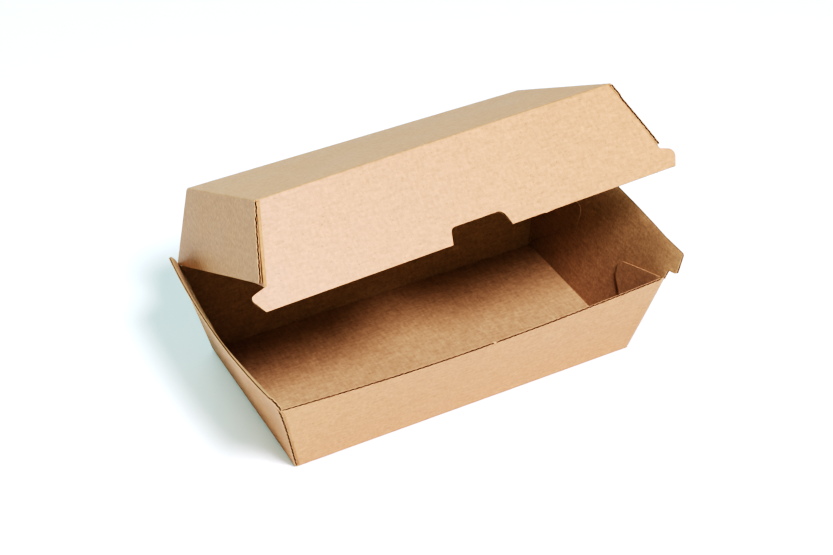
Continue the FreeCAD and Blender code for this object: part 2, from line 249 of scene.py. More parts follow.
class BoardPiece:
    """Collects closed blocks of board and makes one mesh object of them."""

    SHARP_FROM = math.radians(35)

    def __init__(self, name: str) -> None:
        """Starts an empty piece."""
        self.name = name
        self.points: list[Array] = []
        self.places: list[Array] = []
        self.quads: list[Array] = []
        self.skins: list[Array] = []
        self.count = 0

    def block(self, outer: Array, inner: Array, place: Array, flip: bool,
              skins: tuple[Skin, Skin, Skin]) -> None:
        """Adds a closed block between two grids of points.

        Args:
            outer: Points of the face towards the board's outside, shape (u, v, 3).
            inner: Points of the opposite face.
            place: The pattern's place (u, v) at each point, shape (u, v, 2).
            flip: Whether the outer face's order has to be turned round to point outwards.
            skins: Papers of the outer face, the inner face and the rim between them.
        """
        drop = outer.shape[0] * outer.shape[1]
        index = np.arange(drop).reshape(outer.shape[:2]) + self.count
        under = index + drop

        def faces(*corners: Array) -> Array:
            """Quads through four arrays of corners."""
            return np.stack([corner.ravel() for corner in corners], axis=1)

        top = faces(index[:-1, :-1], index[1:, :-1], index[1:, 1:], index[:-1, 1:])
        bottom = faces(under[:-1, :-1], under[:-1, 1:], under[1:, 1:], under[1:, :-1])
        loop = np.concatenate([index[:, 0], index[-1, 1:], index[-2::-1, -1], index[0, -2:0:-1]])
        ahead = np.roll(loop, -1)
        rim = faces(ahead, loop, loop + drop, ahead + drop)
        quads = np.concatenate([top, bottom, rim])
        self.quads.append(quads[:, ::-1] if flip else quads)
        self.skins += [np.full(len(part), skin.value) for part, skin in zip((top, bottom, rim), skins)]
        self.points += [outer.reshape(-1, 3), inner.reshape(-1, 3)]
        self.places += [place.reshape(-1, 2)] * 2
        self.count += 2 * drop

    def make(self, finishes: list[bpy.types.Material]) -> bpy.types.Object:
        """Makes the mesh object, smooth on its bends and sharp on its cut edges."""
        points = np.concatenate(self.points) * MM
        places = np.concatenate(self.places) * MM
        quads = np.concatenate(self.quads).astype(np.int32)
        mesh = bpy.data.meshes.new(self.name)
        mesh.vertices.add(len(points))
        mesh.vertices.foreach_set("co", points.astype(np.float32).ravel())
        mesh.loops.add(quads.size)
        mesh.loops.foreach_set("vertex_index", quads.ravel())
        mesh.polygons.add(len(quads))
        mesh.polygons.foreach_set("loop_start", np.arange(0, quads.size, 4, dtype=np.int32))
        mesh.polygons.foreach_set("material_index", np.concatenate(self.skins).astype(np.int32))
        mesh.update(calc_edges=True)
        layer = mesh.uv_layers.new(name="board")
        layer.data.foreach_set("uv", places[quads.ravel()].astype(np.float32).ravel())
        mesh.validate()
        mesh.polygons.foreach_set("use_smooth", np.ones(len(mesh.polygons), dtype=bool))
        mesh.set_sharp_from_angle(angle=self.SHARP_FROM)
        for finish in finishes:
            mesh.materials.append(finish)
        piece = bpy.data.objects.new(self.name, mesh)
        bpy.context.collection.objects.link(piece)
        LOG.info("%s: %d faces", piece.name, len(mesh.polygons))
        return piece


@dataclass
class Panel:
    """One panel of board: an outer face over (u, v). In a cored panel, u crosses the flutes.

    Attributes:
        surface: Outer face as a function of u and v.
        outline: Outline in u and v.
        inwards: Rough direction from the outer face into the board.
        spacing: Largest step along u.
        steps: Points along v.
        place: Moves the finished points, such as by the lid's opening.
        start: Depth at which a solid panel starts.
        depth: Depth at which it ends.
        skins: Papers of a solid panel's outer face, inner face and rim.
        pressed: Share of the board's thickness left at each place, less than one along a die-cut rim.
    """

    surface: Surface
    outline: Outline
    inwards: Triple
    spacing: float = 4.0
    steps: int = 8
    place: Place = stay
    start: float = 0.0
    depth: float = BOARD.thickness
    skins: tuple[Skin, Skin, Skin] = (Skin.OUTSIDE, Skin.INSIDE, Skin.CUT)
    pressed: Surface = staticmethod(lambda u, v: np.ones(u.shape))

    def grid(self, across: Array, trim: float = 0.0) -> tuple[Array, Array]:
        """Grids of u and v inside the outline, a trim away from its lower and upper side."""
        v = self.outline.span(across, self.steps, trim)
        return np.broadcast_to(across[:, None], v.shape), v

    def add(self, piece: BoardPiece, grid: tuple[Array, Array], first: Array | float,
            last: Array | float, skins: tuple[Skin, Skin, Skin]) -> None:
        """Adds the block of this panel between two depths to a piece.

        Each point is the outer face's point moved along the unit normal by its depth. The normal is the cross
        product of the face's slopes along u and v, each taken over a tenth of a millimetre.

        Args:
            piece: The piece that takes the block.
            grid: Grids of u and v.
            first: Depth of the block's outer face, one number or one for each point.
            last: Depth of its inner face.
            skins: Papers of the outer face, the inner face and the rim.
        """
        u, v = grid
        hair = 0.05
        face = self.surface(u, v)
        over = self.surface(u + hair, v) - self.surface(u - hair, v)
        along = self.surface(u, v + hair) - self.surface(u, v - hair)
        normal = np.cross(over, along)
        normal = normal / np.linalg.norm(normal, axis=2, keepdims=True)
        turned = bool((normal.reshape(-1, 3) @ np.array(self.inwards)).mean() > 0)
        inward = normal if turned else -normal
        outer, inner = (self.place(face + inward * np.broadcast_to(depth, u.shape)[..., None])
                        for depth in (first, last))
        piece.block(outer, inner, np.stack([u, v], axis=2), turned, skins)

    def solid(self, piece: BoardPiece) -> BoardPiece:
        """Adds the panel as one solid block, where no cut edge shows, and returns the piece."""
        self.add(piece, self.grid(self.outline.marks(self.spacing)), self.start, self.depth, self.skins)
        return piece

    def cored(self, piece: BoardPiece) -> BoardPiece:
        """Adds the panel as two liners and the fluted core between them, and returns the piece."""
        across = self.outline.marks(self.spacing)
        grid = self.grid(across)
        share = self.pressed(*grid)
        whole, liner = BOARD.thickness, BOARD.liner
        # The core and the liners' faces towards it take the core slot, painted near-black as the shade inside
        # the flute channels.
        core, cut = Skin.CORE, Skin.CUT
        self.add(piece, grid, 0.0, liner * share, (Skin.OUTSIDE, core, cut))
        self.add(piece, grid, (whole - liner) * share, whole * share, (core, Skin.INSIDE, cut))
        trim = 0.03
        first, last = across[0] + trim, across[-1] - trim
        count = int((last - first) / BOARD.pitch * BOARD.per_flute) + 2
        grid = self.grid(np.linspace(first, last, count), trim)
        middle, half = BOARD.wave(grid[0]), BOARD.core_depth(grid[0]) / 2
        share = self.pressed(*grid)
        self.add(piece, grid, (middle - half) * share, (middle + half) * share, (core, core, cut))
        return piece


def pressed_rim(along: int, rim: float, sign: int, loss: float = 0.33) -> Surface:
    """Share of the board's thickness near a die-cut rim: one, falling evenly over the last 3 mm.

    Args:
        along: 0 for a rim at a value of u, 1 for one at a value of v.
        rim: Value at the rim.
        sign: 1 where the panel lies below that value, -1 where it lies above.
        loss: How much the share falls.

    Returns:
        The share over u and v.
    """
    reach = 3.0
    return lambda u, v: 1 - loss * np.clip(1 - sign * (rim - (u, v)[along]) / reach, 0, 1)


def upright(wall: Surface) -> Surface:
    """Outer face over x and z of a front or back wall, from its Y over both."""
    return lambda x, z: np.stack([x, wall(x, z) + x * 0, z], axis=-1)


def fold(start: Array, end: Array, normals: tuple[Array, Array], place: Place) -> Panel:
    """Rounded board along a folded edge.

    The outer face is the corner's line plus the radius times (the unit direction turned from one face's
    outward normal to the other's, less the sum of both normals over one plus their cosine). It touches both.

    Args:
        start: First point of the sharp outer edge.
        end: Last point of the edge.
        normals: Outward unit normals of the two faces.
        place: Moves the finished points.

    Returns:
        The panel of the fold: u runs along the edge and v from one face to the other, both in millimetres.
    """
    first, second = normals
    turn = math.acos(float(first @ second))
    radius = BOARD.fold_radius
    length = float(np.linalg.norm(end - start))
    way = (end - start) / length
    inset = radius * (first + second) / (1 + math.cos(turn))
    sweep = radius * turn

    def face(u: Array, v: Array) -> Array:
        """Outer face of the fold."""
        angle = v / sweep * turn
        ray = (np.sin(turn - angle)[..., None] * first + np.sin(angle)[..., None] * second) / math.sin(turn)
        return start + u[..., None] * way + radius * ray - inset

    crushed = 0.9 * radius
    return Panel(face, rectangle((0, 0), (length, sweep)), tuple(-(first + second)), steps=9, place=place,
                 depth=crushed)


def fold_reach(normals: tuple[Array, Array]) -> float:
    """Distance from a sharp edge to where its fold ends: radius times tangent of half the turn."""
    return BOARD.fold_radius * math.tan(math.acos(float(normals[0] @ normals[1])) / 2)


def corner_flap(plane: Surface, wall: Place, side: Side, into: int, tip: float,
                shape: Callable[[Across], Outline], place: Place, swell: float) -> Panel:
    """A wall's upright folded corner and the glued flap behind it.

    Over the first stretch of u the face is a quarter round between the wall and the end wall's inner face.
    Then it follows that inner face to the flap's tip, evenly in Y. A swell adds a squared sine at the corner.

    Args:
        plane: Distance from the middle of the flap's outer face, over y and z.
        wall: The wall's outer face as a Y place, over z.
        side: End of the box.
        into: Sign of Y from the wall into the box.
        tip: Y place of the flap's free edge.
        shape: Gives the outline, from a function that turns (y, z) into u.
        place: Moves the finished points.
        swell: How far the corner stands out past the flap.

    Returns:
        The panel of the corner and flap.
    """
    mid_height, swell_past_bend = 20.0, 2.2
    radius = BOARD.corner_radius
    bend = radius * math.pi / 2
    reach = abs(tip - float(wall(np.array(mid_height)))) - radius

    def face(u: Array, v: Array) -> Array:
        """Outer face of the corner and flap."""
        angle = np.clip(u / bend, 0, 1) * math.pi / 2
        share = np.maximum(u - bend, 0) / reach
        start = wall(v) + into * radius
        y = wall(v) + into * radius * (1 - np.cos(angle)) + (tip - start) * share
        flat, out = plane(start, v), plane(y, v)
        x = flat - radius + (radius + out - flat) * np.sin(angle)
        x = x + swell * np.sin(np.clip(u / (bend + swell_past_bend), 0, 1) * math.pi) ** 2
        return np.stack([side.value * (x + np.minimum(u, 0)), y, v], axis=-1)

    def across(y: float, z: float) -> float:
        """Place u of a point (y, z) on the flap."""
        start = float(wall(np.array(z))) + into * radius
        return bend + (y - start) / (tip - start) * reach

    return Panel(face, shape(across), (-side.value, into, 0), spacing=1.2, steps=10, place=place)


class Half:
    """What tray and lid share: a flat panel from which four walls lean outwards.

    Attributes:
        body: CAD node that the pieces belong to.
        facing: 1 where the flat panel's outer face looks up, -1 where it looks down.
        end_lean: Lean of both end walls.
        front_lean: Lean of the front wall.
        back_lean: Lean of the back wall.
    """

    body: str
    facing: int
    end_lean: float
    front_lean: float
    back_lean: float

    def lean(self, wall: Wall) -> float:
        """Lean of a wall."""
        return {Wall.FRONT: self.front_lean, Wall.BACK: self.back_lean}.get(wall, self.end_lean)

    def normals(self, wall: Wall) -> tuple[Array, Array]:
        """Outward unit normals of the flat panel and of a wall, with the box closed."""
        lean = math.radians(self.lean(wall))
        x, y = (way * math.cos(lean) for way in wall.value)
        return np.array([0, 0, float(self.facing)]), np.array([x, y, self.facing * math.sin(lean)])

    def reach(self, wall: Wall) -> float:
        """Width of the flat panel that a wall's rounded fold takes."""
        return fold_reach(self.normals(wall))

    def rise(self, wall: Wall) -> float:
        """Height of a wall that its rounded fold takes."""
        return self.reach(wall) * math.cos(math.radians(self.lean(wall)))

    def place(self, points: Array) -> Array:
        """Places the points of the closed box; they stay where they are, unless the half opens."""
        return points

    def piece(self, part: str, side: Side | None = None) -> BoardPiece:
        """Starts a piece of this half, named after its part and side."""
        return BoardPiece(f"{self.body}_{part}{'_' + side.name.lower() if side else ''}")

    def front_edge(self, z: float, gap: float, rounding: float = 0.0) -> Triple:
        """Corner of an end wall's outline, a gap behind the front wall's face: z, y and rounding."""
        return z, float(self.front_y(z)) + gap, rounding

    def flat_panel(self, piece: BoardPiece, first: Pair, last: Pair, z: float,
                   gaps: Pair, steps: int) -> BoardPiece:
        """Adds the flat panel and its four rounded folds.

        Args:
            piece: The piece that takes them.
            first: The panel's left front corner (x, y), with its edges sharp.
            last: Its right back corner.
            z: Height of its outer face.
            gaps: How far the long folds and the end folds stop short of the corners.
            steps: Mesh points along Y.

        Returns:
            The piece.
        """
        (west, front), (east, back) = first, last
        flat = rectangle((west + self.reach(Wall.LEFT), front + self.reach(Wall.FRONT)),
                         (east - self.reach(Wall.RIGHT), back - self.reach(Wall.BACK)))
        Panel(lambda x, y: np.stack([x, y, x * 0 + z], axis=-1), flat, (0, 0, -self.facing), steps=steps,
              place=self.place).solid(piece)
        x, y = gaps
        edges = {
            Wall.FRONT: ((west + x, front), (east - x, front)),
            Wall.BACK: ((west + x, back), (east - x, back)),
            Wall.LEFT: ((west, front + y), (west, back - y)),
            Wall.RIGHT: ((east, front + y), (east, back - y)),
        }
        for wall, (start, end) in edges.items():
            fold(np.array([*start, z]), np.array([*end, z]), self.normals(wall), self.place).solid(piece)
        return piece

    def pieces(self) -> list[BoardPiece]:
        """Every piece, the flat panel first."""
        flaps = [self.flap(side, front) for side in Side for front in (True, False)]
        ends = [self.end_wall(side) for side in Side]
        return [self.flat(), self.front_wall(), self.back_wall(), *ends, *flaps]


@dataclass
class Tray(Half):
    """The box's lower half, standing on the floor."""

    body = "tray"
    facing = -1

    base_length: float = 174.4
    base_depth: float = 89.1
    end_lean: float = 13.6
    front_lean: float = 11.5
    back_lean: float = 14.1
    front_height: float = 45.3
    hinge_height: float = 46.9
    end_height: float = 62.8
    rear_setback: float = 12.9
    hook_height: float = 50.3
    hook_reach: float = 5.6
    hook_rise: float = 1.6
    hook_notch_round: float = 0.3
    hook_lower_round: float = 1.7
    hook_upper_round: float = 1.4
    rear_round: float = 3.0
    front_bow: float = 3.8
    front_bow_place: float = -10.0
    left_bow: float = 7.7
    left_bow_place: float = -14.0
    left_bow_spans: Pair = (55.0, 70.0)
    left_bow_corners: Pair = (3.3, 2.1)
    left_bow_lateness: Pair = (0.7, 4.0)
    right_foot_out: float = 1.15
    right_foot_height: float = 42.0
    right_bow: float = 1.3
    right_bow_place: float = 10.0
    right_bow_span: float = 42.0
    right_bow_end: float = -1.33
    right_hook_growth: float = 4.0
    bow_growth: float = 1.5
    corner_growth: float = 8.4
    flap_foot: Cut = ((0.0, 0.3, 0.0), (1.8, 1.2, 0.0), (4.0, 4.2, 0.0))
    flap_top: Cut = ((2.5, -0.1, 0.0), (0.0, 0.0, 0.0))
    rear_flap_top: Cut = ((3.5, -2.5, 0.0), (1.6, -0.3, 0.0), (0.0, 0.0, 0.0))
    flap_tip: float = -22.8
    flap_drop: float = 10.2
    flap_side: float = 7.5
    flap_round: float = 4.0
    flap_depth: float = 0.8
    rear_flap_tip: float = 13.6
    rear_flap_low: float = 28.0
    rear_flap_low_round: float = 5.0
    rear_flap_drop: float = 6.5
    rear_flap_rise: float = 0.5
    seams: Pair = (0.15, 2.4)
    seam_end: float = 3.0
    seam_shut: float = 0.5
    corner_swell: float = 1.6
    hinge_margin: float = 1.6
    wall_shares: Pair = (0.5, 0.8)
    rim_loss: float = 0.12
    tag_place: float = 4.9
    tag_width: float = 1.4
    tag_height: float = 0.7
    tag_rise: float = 0.02
    tag_inset: float = 0.7
    fold_gaps: Pair = (0.6, 1.0)

    def front_y(self, z: Array) -> Array:
        """Y of the straight front wall at height z."""
        return -self.base_depth / 2 - z * run(self.front_lean)

    def back_y(self, z: Array) -> Array:
        """Y of the back wall at height z."""
        return self.base_depth / 2 + z * run(self.back_lean)

    def front_swell(self, x: Array, z: Array) -> Array:
        """Forward bow: most at the rim, a cosine to the corners, growing with a power of the height."""
        corner = self.base_length / 2 + self.front_height * run(self.end_lean)
        place = self.front_bow_place
        share = np.minimum(1, np.abs(x - place) / np.where(x > place, corner - place, corner + place))
        grown = np.maximum(z, 0) / self.front_height
        return self.front_bow * np.cos(share * np.pi / 2) * grown ** self.bow_growth

    def swell(self, side: Side, y: Array, z: Array) -> Array:
        """Outward bow of an end wall, which grows with a power of the height.

        The right one is slight and a parabola over y, which turns inwards at the hook. The left one is a
        parabola too, falling to its corners' spread; there the power rises to its own, sooner at the front.
        """
        height = np.maximum(z, 0) / self.end_height
        if side is Side.RIGHT:
            share = np.clip((y - self.right_bow_place) / self.right_bow_span, self.right_bow_end, 1)
            growth = np.where(share < -1, self.right_hook_growth, self.bow_growth)
            return self.right_bow * (1 - share ** 2) * height ** growth
        behind = y > self.left_bow_place
        span, corner = (np.where(behind, rear, front)
                        for front, rear in (self.left_bow_spans, self.left_bow_corners))
        off = np.minimum(1, np.abs(y - self.left_bow_place) / span) ** 2
        bulge = self.left_bow + (corner - self.left_bow) * off
        late = np.where(behind, off ** self.left_bow_lateness[1], off ** self.left_bow_lateness[0])
        return bulge * height ** (self.bow_growth + (self.corner_growth - self.bow_growth) * late)

    def end_line(self, side: Side, z: Array) -> Array:
        """Distance from the middle to a straight end wall at height z; the right one's foot stands out."""
        out = 0.0
        if side is Side.RIGHT:
            out = self.right_foot_out * np.maximum(0, 1 - z / self.right_foot_height)
        return self.base_length / 2 + out + z * run(self.end_lean)

    def end_x(self, side: Side, y: Array, z: Array) -> Array:
        """Distance from the middle to an end wall's outer face."""
        return self.end_line(side, z) + self.swell(side, y, z)

    def flap_x(self, side: Side) -> Surface:
        """Distance from the middle to the glued flaps' outer face, just inside the end wall."""
        return lambda y, z: self.end_x(side, y, z) - BOARD.slant(self.end_lean) - GLUE_GAP

    def wall_outline(self, foot: float, top: float, wall: Place) -> Outline:
        """Outline of the front or back wall between the two corners where it starts to turn into its flaps.

        Args:
            foot: Height of its lower side.
            top: Height of its upper side.
            wall: Y of the wall at a height.

        Returns:
            The outline over x and z, with four heights on each side.
        """
        def corner(side: Side, z: float) -> Triple:
            """The wall's end at one height."""
            return side.value * (float(self.flap_x(side)(float(wall(z)), z)) - BOARD.corner_radius), z, 0

        rising = [foot, *(share * top for share in self.wall_shares), top]
        return Outline([corner(Side.RIGHT, z) for z in rising] + [corner(Side.LEFT, z) for z in rising[::-1]])

    def front_wall(self) -> BoardPiece:
        """Front wall, with a small tag where its rim was torn from the sheet."""
        rim = self.front_height
        face = upright(lambda x, z: self.front_y(z) - self.front_swell(x, z))
        outline = self.wall_outline(self.rise(Wall.FRONT), rim, self.front_y)
        piece = Panel(face, outline, (0, 1, 0), spacing=3.0, steps=14,
                      pressed=pressed_rim(1, rim, 1, self.rim_loss)).cored(self.piece("front_wall"))
        half, top, inset = self.tag_width / 2, rim + self.tag_rise, BOARD.liner * self.tag_inset
        tag = rectangle((self.tag_place - half, top - self.tag_height), (self.tag_place + half, top))
        depth = BOARD.thickness * (1 - self.rim_loss) - inset
        return Panel(face, tag, (0, 1, 0), spacing=0.5, steps=2, start=inset, depth=depth,
                     skins=(Skin.CUT,) * 3).solid(piece)

    def back_wall(self) -> BoardPiece:
        """Back wall, up to the hinge fold."""
        outline = self.wall_outline(self.rise(Wall.BACK), self.hinge_height - self.hinge_margin, self.back_y)
        face = upright(lambda x, z: self.back_y(z))
        return Panel(face, outline, (0, -1, 0), steps=6).solid(self.piece("back_wall"))

    def flap(self, side: Side, front: bool) -> BoardPiece:
        """Upright corner and glued flap of the front or back wall."""
        from_corner = 3.0

        def front_wall(z: Array) -> Array:
            """Bowed front wall near the corner."""
            corner = side.value * (self.base_length / 2 + z * run(self.end_lean) - from_corner)
            return self.front_y(z) - self.front_swell(corner, z)

        def front_shape(across: Across) -> Outline:
            """Flap cut to a slanting foot, a short free edge and a falling top."""
            top, upper = self.front_height, self.front_height - self.flap_drop
            end = across(self.flap_tip, top)
            return Outline([*self.flap_foot, (end, upper - self.flap_side, self.flap_round),
                            (end, upper, self.flap_round), *raised(self.flap_top, top)])

        def back_shape(across: Across) -> Outline:
            """Flap cut to a slanting foot, an upright free edge and a nearly level top."""
            top = self.hinge_height + self.rear_flap_rise
            end = across(self.rear_flap_tip, top)
            return Outline([*self.flap_foot, (end, self.rear_flap_low, self.rear_flap_low_round),
                            (end, top - self.rear_flap_drop, self.flap_round),
                            *raised(self.rear_flap_top, top)])

        plane = self.flap_x(side)
        if front:
            swell = self.corner_swell if side is Side.RIGHT else 0.0
            flap = corner_flap(plane, front_wall, side, 1, self.flap_tip, front_shape, stay, swell)
        else:
            flap = corner_flap(plane, self.back_y, side, -1, self.rear_flap_tip, back_shape, stay, 0.0)
            # The rear flaps' rims take the darker inside paper in place of the cut-edge paper: painted shade,
            # as these edges lie in the lid's shadow.
            flap.skins = (Skin.OUTSIDE, Skin.INSIDE, Skin.INSIDE)
        flap.depth = self.flap_depth
        return flap.solid(self.piece("flap_front" if front else "flap_back", side))

    def end_wall(self, side: Side) -> BoardPiece:
        """End wall with the hook at the front of its rim; its flutes lie level."""
        close, seam = self.seams[0], self.seams[side is Side.RIGHT]
        tip = float(self.front_y(self.hook_height)) - self.hook_reach
        hinge = float(self.back_y(self.hinge_height)) - close
        foot, rim = self.rise(Wall.LEFT), self.front_height

        outline = Outline([
            (foot, float(self.back_y(foot)) - close, 0), self.front_edge(foot, seam),
            self.front_edge(rim - self.seam_end, seam), self.front_edge(rim - self.seam_shut, close),
            self.front_edge(self.hook_height, close, self.hook_notch_round),
            (self.hook_height + self.hook_rise, tip, self.hook_lower_round),
            (self.end_height, tip, self.hook_upper_round),
            (self.end_height, hinge - self.rear_setback, self.rear_round),
            (self.hinge_height, hinge, 0),
        ])
        return Panel(lambda z, y: np.stack([side.value * self.end_x(side, y, z), y, z], axis=-1), outline,
                     (-side.value, 0, 0), spacing=2.5, steps=30, pressed=pressed_rim(0, self.end_height, 1)
                     ).cored(self.piece("end_wall", side))

    def flat(self) -> BoardPiece:
        """Bottom panel and its four rounded folds."""
        west, east = -float(self.end_line(Side.LEFT, 0)), float(self.end_line(Side.RIGHT, 0))
        y = self.base_depth / 2
        return self.flat_panel(self.piece("bottom_panel"), (west, -y), (east, y), 0.0, self.fold_gaps, 4)


@dataclass(frozen=True)
class Ear:
    """Ear beside the lid's front wall: half-lengths of its tip and foot, its tip's height and rounding."""

    tip: float
    foot: float
    height: float
    rounding: float


@dataclass(frozen=True)
class Splay:
    """Spread of an end of the lid: at the front's foot and head, at the back, and the change's power."""

    low: float
    high: float
    back: float
    power: float


@dataclass
class Lid(Half):
    """The box's upper half, described closed and then opened about the hinge line.

    Its own y is zero on the hinge line and falls towards the front; z is the height over the hinge line.
    """

    body = "lid"
    facing = 1

    tray: Tray
    height: float = 34.0
    depth: float = 110.0
    end_lean: float = 15.2
    front_lean: float = 22.0
    back_lean: float = 20.1
    side_clearance: float = 0.35
    front_clearance: float = 0.3
    open_angle: float = 31.2
    rack: float = 1.41
    rack_reach: float = 98.0
    front_fold: float = 1.1
    fold_rise: float = 0.3
    skirt: float = 9.7
    ears: tuple[Ear, Ear] = (Ear(103.2, 98.3, -1.0, 1.7), Ear(101.9, 98.4, -1.0, 2.9))
    ear_root: float = 95.4
    ear_height: float = 1.1
    splay: tuple[Splay, Splay] = (Splay(2.8, 1.4, 0.5, 1.0), Splay(1.7, 0.0, 0.0, 2.0))
    splay_start: float = 50.0
    splay_end: float = 92.0
    end_lift: float = 2.8
    end_lift_round: float = 0.6
    end_gap: float = 0.7
    thumb_width: float = 29.4
    thumb_taper: float = 2.0
    thumb_height: float = 7.3
    thumb_rounds: Pair = (2.5, 3.8)
    thumb_place: float = 0.75
    nick_place: float = 31.6
    nick_depth: float = 0.3
    nick_length: float = 6.0
    flap_width: float = 34.0
    flap_lift: float = 1.0
    flap_side: float = 9.0
    flap_round: float = 3.5
    flap_drop: float = 0.5
    flap_top: Cut = ((5.0, -4.0, 0.0), (2.0, -0.1, 0.0), (0.0, 0.0, 0.0))
    rear_flap_foot: float = -0.3
    rear_foot: Triple = (-0.5, -0.3, 0.0)
    head_gap: float = 0.4
    seam: float = 1.6
    seam_start: float = 5.0
    seam_step: float = 1.5
    seam_lead: float = 0.6
    corner_swell: float = 0.35
    fold_gaps: Pair = (0.5, 0.8)

    def spread(self, points: Array) -> Array:
        """X of the points after the ends are spread: most at the front's foot, none in the middle."""
        x, y, z = points[..., 0], points[..., 1], points[..., 2]
        rise = np.clip(z / self.height, 0, 1)
        depth = np.clip(-y / self.depth, 0, 1)
        share = np.clip((np.abs(x) - self.splay_start) / (self.splay_end - self.splay_start), 0, None)
        share = np.where(share < 1, share ** 2 * (3 - 2 * share), 1)
        moves = []
        for splay in self.splay:
            front = splay.low + (splay.high - splay.low) * rise ** splay.power
            moves.append(splay.back + (front - splay.back) * depth)
        return x + np.where(x < 0, -moves[0], moves[1]) * share

    def place(self, points: Array) -> Array:
        """Opens the lid: turns each point about the hinge line by the opening plus a rack growing along X."""
        points = np.concatenate([self.spread(points)[..., None], points[..., 1:]], axis=-1)
        angle = np.radians(self.open_angle + self.rack * points[..., 0] / self.rack_reach)
        out, up = -points[..., 1], points[..., 2]
        forward = out * np.cos(angle) - up * np.sin(angle)
        rise = out * np.sin(angle) + up * np.cos(angle)
        hinge_y = float(self.tray.back_y(self.tray.hinge_height))
        return np.stack([points[..., 0], hinge_y - forward, self.tray.hinge_height + rise], axis=-1)

    def low_half(self) -> float:
        """Half the lid's length on the hinge line's level, so that it drops between the tray's end walls."""
        tray = self.tray
        wall = tray.base_length / 2 + tray.hinge_height * run(tray.end_lean)
        return wall - BOARD.slant(tray.end_lean) - self.side_clearance

    def end_x(self, z: Array) -> Array:
        """Distance from the middle to an end wall's outer face."""
        return self.low_half() - z * run(self.end_lean)

    def front_y(self, z: Array) -> Array:
        """Y of the front wall's outer face, which passes the tray's bowed rim with a clearance."""
        tray = self.tray
        depth = float(tray.back_y(tray.hinge_height) - tray.front_y(tray.front_height)) + tray.front_bow
        rim = (tray.hinge_height - tray.front_height) * run(self.front_lean)
        return -(depth + self.front_clearance + BOARD.slant(self.front_lean) - rim) + z * run(self.front_lean)

    def back_y(self, z: Array) -> Array:
        """Y of the back wall's outer face."""
        return -z * run(self.back_lean)

    def flap_x(self, y: Array, z: Array) -> Array:
        """Distance from the middle to the glued flaps' outer face."""
        return self.end_x(z) - BOARD.slant(self.end_lean) - GLUE_GAP + y * 0

    def wall_corner(self, z: float) -> float:
        """X at which the front and back walls start to turn into their flaps."""
        return float(self.flap_x(np.array(0.0), np.array(z))) - BOARD.corner_radius

    def below(self, distance: float) -> float:
        """Height on the front wall at a distance below the end walls' corner, along the wall."""
        return self.front_fold - distance * math.cos(math.radians(self.front_lean))

    def front_wall(self) -> BoardPiece:
        """Front wall and skirt: an ear at each side, and the thumb notch in the lower edge."""
        west, east = self.ears
        root, ear_top, nick = self.ear_root, self.ear_height, self.nick_place
        top, foot = self.height - self.rise(Wall.FRONT), self.front_fold + self.fold_rise
        hem, notch = self.below(self.skirt), self.below(self.skirt - self.thumb_height)
        low, high = self.wall_corner(foot), self.wall_corner(top)
        left, right = self.thumb_place - self.thumb_width / 2, self.thumb_place + self.thumb_width / 2
        outline = Outline([
            (-west.foot, hem, 0), (left, hem, 0), (left + self.thumb_taper, notch, self.thumb_rounds[0]),
            (right - self.thumb_taper, notch, self.thumb_rounds[1]), (right, hem, 0), (nick, hem, 0),
            (nick + self.nick_depth, hem - self.nick_depth, 0), (nick + self.nick_length, hem, 0),
            (east.foot, hem, 0), (east.tip, east.height, east.rounding), (root, ear_top, 0), (low, foot, 0),
            (high, top, 0), (-high, top, 0), (-low, foot, 0), (-root, ear_top, 0),
            (-west.tip, west.height, west.rounding),
        ])
        return Panel(upright(lambda x, z: self.front_y(z)), outline, (0, 1, 0), spacing=3.0, steps=12,
                     place=self.place, pressed=pressed_rim(1, hem, -1)).cored(self.piece("front_wall"))

    def back_wall(self) -> BoardPiece:
        """Back wall, down to the hinge fold."""
        foot, top = self.tray.hinge_margin, self.height - self.rise(Wall.BACK)
        low, high = self.wall_corner(foot), self.wall_corner(top)
        outline = Outline([(-low, foot, 0), (low, foot, 0), (high, top, 0), (-high, top, 0)])
        return Panel(upright(lambda x, z: self.back_y(z)), outline, (0, -1, 0), steps=6,
                     place=self.place).solid(self.piece("back_wall"))

    def flap(self, side: Side, front: bool) -> BoardPiece:
        """Upright corner and glued flap of the lid's front or back wall."""
        if front:
            wall, into, foot = self.front_y, 1, self.front_fold
        else:
            wall, into, foot = self.back_y, -1, self.rear_flap_foot
        tip = float(wall(np.array(foot))) + into * self.flap_width
        top = self.height - self.flap_drop

        def shape(across: Across) -> Outline:
            """Flap cut to a level foot, a short free edge and a top that falls away from the corner."""
            end, low, rounding = across(tip, foot), foot + self.flap_lift, self.flap_round
            return Outline([(0, foot, 0), (end, low, rounding), (end, low + self.flap_side, rounding),
                            *raised(self.flap_top, top)])

        swell = self.corner_swell if front and side is Side.LEFT else 0.0
        piece = self.piece("flap_front" if front else "flap_back", side)
        return corner_flap(self.flap_x, wall, side, into, tip, shape, self.place, swell).solid(piece)

    def end_wall(self, side: Side) -> BoardPiece:
        """End wall; its flutes lie level when the lid is closed."""
        top, close = self.height - self.rise(Wall.LEFT), self.head_gap
        wide = top - self.seam_start - self.seam_step

        def face(z: Array, y: Array) -> Array:
            """Outer face, off the flap by a gap that grows with the cube of the way to the front."""
            gap = self.end_gap * np.clip(-y / self.depth, 0, 1) ** 3 * (1 - np.clip(z / self.height, 0, 1))
            return np.stack([side.value * (self.end_x(z) + gap), y, z], axis=-1)

        outline = Outline([
            self.rear_foot, (top, float(self.back_y(top)) - close, 0), self.front_edge(top, close),
            self.front_edge(top - self.seam_start, self.seam_lead), self.front_edge(wide, self.seam),
            self.front_edge(self.end_lift, self.seam, self.end_lift_round),
        ])
        return Panel(face, outline, (-side.value, 0, 0), spacing=2.5, steps=24, place=self.place,
                     pressed=pressed_rim(0, 0.0, -1)).cored(self.piece("end_wall", side))

    def flat(self) -> BoardPiece:
        """Top panel and its four rounded folds."""
        z = self.height
        x, front, back = float(self.end_x(z)), float(self.front_y(z)), float(self.back_y(z))
        return self.flat_panel(self.piece("top_panel"), (-x, front), (x, back), z, self.fold_gaps, 8)


